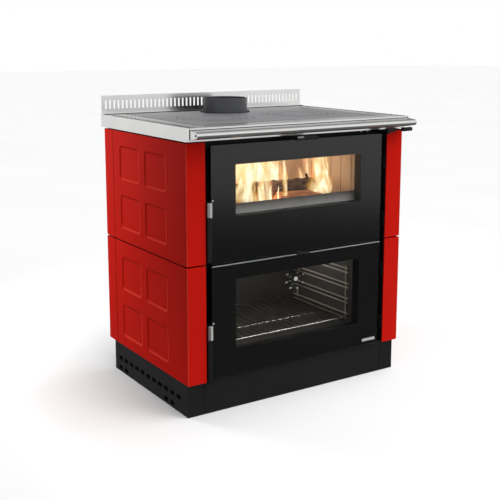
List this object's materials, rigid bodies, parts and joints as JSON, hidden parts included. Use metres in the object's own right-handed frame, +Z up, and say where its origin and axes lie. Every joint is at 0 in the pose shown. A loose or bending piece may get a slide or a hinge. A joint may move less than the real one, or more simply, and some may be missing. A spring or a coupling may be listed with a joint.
{
  "type": "wood-burning cookstove",
  "caption": "Free-standing wood-burning cookstove: red enamelled sides, glazed fire and oven doors, steel-framed hob plate with lift-out rings, flue collar, handrail and air controls.",
  "frame": {"origin": "middle of the overall footprint, on the floor", "axes": "+X to the right seen from the front, +Y to the back, +Z up"},
  "size_m": [0.8, 0.63, 0.912],
  "materials": {
    "red_enamel": "gloss",
    "black_paint": "satin",
    "stainless_steel": "satin",
    "hob_iron": "satin",
    "flue_iron": "matte",
    "galvanised_steel": "satin",
    "firebox_steel": "matte",
    "oven_enamel": "satin",
    "firebrick": "matte",
    "mineral_wool": "matte",
    "door_glass": "gloss",
    "rope_seal": "matte",
    "black_grip": "matte",
    "chromed_wire": "gloss",
    "dial_face": "gloss",
    "needle_paint": "satin"
  },
  "bodies": {
    "stove": {"ash_drawer": "firebox_steel", "base_plate": "black_paint", "carcass_walls": "galvanised_steel", "face_frame": "black_paint", "fire_grate": "hob_iron", "firebox_shell": "firebox_steel", "firebricks": "firebrick", "flue_collar": "flue_iron", "handrail": "stainless_steel", "hinge_posts": "black_paint", "hob_frame": "stainless_steel", "hob_plate": "hob_iron", "levelling_feet": "galvanised_steel", "lower_panel_left": "red_enamel", "lower_panel_right": "red_enamel", "oven_liner": "oven_enamel", "oven_racks": "chromed_wire", "oven_shelf": "chromed_wire", "plinth_front": "black_paint", "plinth_left": "black_paint", "plinth_right": "black_paint", "rail_end_caps": "stainless_steel", "rear_corner_trims": "red_enamel", "rear_panel": "galvanised_steel", "rear_panel_screws": "galvanised_steel", "side_insulation": "mineral_wool", "splashback": "stainless_steel", "upper_panel_left": "red_enamel", "upper_panel_right": "red_enamel"},
    "fire_door": {"fire_door_glass": "door_glass", "fire_door_frame": "black_paint", "fire_door_inner_glass": "door_glass", "fire_door_retainer": "stainless_steel", "fire_door_seal": "rope_seal", "fire_door_brackets": "black_paint"},
    "fire_door_handle": {"fire_door_handle_root": "stainless_steel", "fire_door_handle_grip": "black_grip"},
    "oven_door": {"oven_door_glass": "door_glass", "oven_door_frame": "black_paint", "oven_door_inner_glass": "door_glass", "oven_door_seal": "rope_seal", "oven_door_brackets": "black_paint", "oven_thermometer": "dial_face", "badge_plate": "stainless_steel"},
    "oven_door_handle": {"oven_door_handle_root": "stainless_steel", "oven_door_handle_grip": "black_grip"},
    "thermometer_needle": {"thermometer_needle": "needle_paint"},
    "flue_damper": {"flue_damper": "stainless_steel", "flue_damper_grip": "black_grip"},
    "air_valve": {"air_valve": "stainless_steel", "air_valve_grip": "black_grip"},
    "draught_lever": {"draught_lever": "stainless_steel", "draught_lever_grip": "black_grip"},
    "air_slide": {"air_slide": "black_paint"},
    "outer_ring_left": {"outer_ring_left": "hob_iron"},
    "inner_ring_left": {"inner_ring_left": "hob_iron"},
    "hob_lid_left": {"hob_lid_left": "hob_iron"},
    "outer_ring_right": {"outer_ring_right": "hob_iron"},
    "inner_ring_right": {"inner_ring_right": "hob_iron"},
    "hob_lid_right": {"hob_lid_right": "hob_iron"}
  },
  "joints": [
    {"name": "fire_door_swing", "type": "hinge", "parent": "stove", "child": "fire_door", "pos_m": [0.326, -0.244, 0.6255], "axis": [0, 0, 1], "range_deg": [0, 110]},
    {"name": "fire_door_handle_lift", "type": "hinge", "parent": "fire_door", "child": "fire_door_handle", "pos_m": [-0.326, -0.239, 0.62], "axis": [-1, 0, 0], "range_deg": [0, 45]},
    {"name": "oven_door_swing", "type": "hinge", "parent": "stove", "child": "oven_door", "pos_m": [0.326, -0.244, 0.276], "axis": [0, 0, 1], "range_deg": [0, 110]},
    {"name": "oven_door_handle_lift", "type": "hinge", "parent": "oven_door", "child": "oven_door_handle", "pos_m": [-0.326, -0.239, 0.258], "axis": [-1, 0, 0], "range_deg": [0, 45]},
    {"name": "thermometer_needle_turn", "type": "hinge", "parent": "oven_door", "child": "thermometer_needle", "pos_m": [0, -0.2155, 0.3615], "axis": [0, 1, 0], "range_deg": [0, 270], "stiffness_Nm_per_rad": 0.02},
    {"name": "flue_damper_push", "type": "slide", "parent": "stove", "child": "flue_damper", "axis": [0, 1, 0], "range_m": [0, 0.03]},
    {"name": "air_valve_push", "type": "slide", "parent": "stove", "child": "air_valve", "axis": [0, 1, 0], "range_m": [0, 0.022]},
    {"name": "draught_lever_swing", "type": "hinge", "parent": "stove", "child": "draught_lever", "pos_m": [0.35, -0.224, 0.808], "axis": [0, 0, 1], "range_deg": [-10, 10]},
    {"name": "air_slide_shift", "type": "slide", "parent": "stove", "child": "air_slide", "axis": [1, 0, 0], "range_m": [-0.028, 0.028]},
    {"name": "outer_ring_left_lift_off", "type": "slide", "parent": "stove", "child": "outer_ring_left", "axis": [0, 0, 1], "range_m": [0, 0.12]},
    {"name": "inner_ring_left_lift_off", "type": "slide", "parent": "outer_ring_left", "child": "inner_ring_left", "axis": [0, 0, 1], "range_m": [0, 0.12]},
    {"name": "hob_lid_left_lift_off", "type": "slide", "parent": "inner_ring_left", "child": "hob_lid_left", "axis": [0, 0, 1], "range_m": [0, 0.12]},
    {"name": "outer_ring_right_lift_off", "type": "slide", "parent": "stove", "child": "outer_ring_right", "axis": [0, 0, 1], "range_m": [0, 0.12]},
    {"name": "inner_ring_right_lift_off", "type": "slide", "parent": "outer_ring_right", "child": "inner_ring_right", "axis": [0, 0, 1], "range_m": [0, 0.12]},
    {"name": "hob_lid_right_lift_off", "type": "slide", "parent": "inner_ring_right", "child": "hob_lid_right", "axis": [0, 0, 1], "range_m": [0, 0.12]}
  ]
}
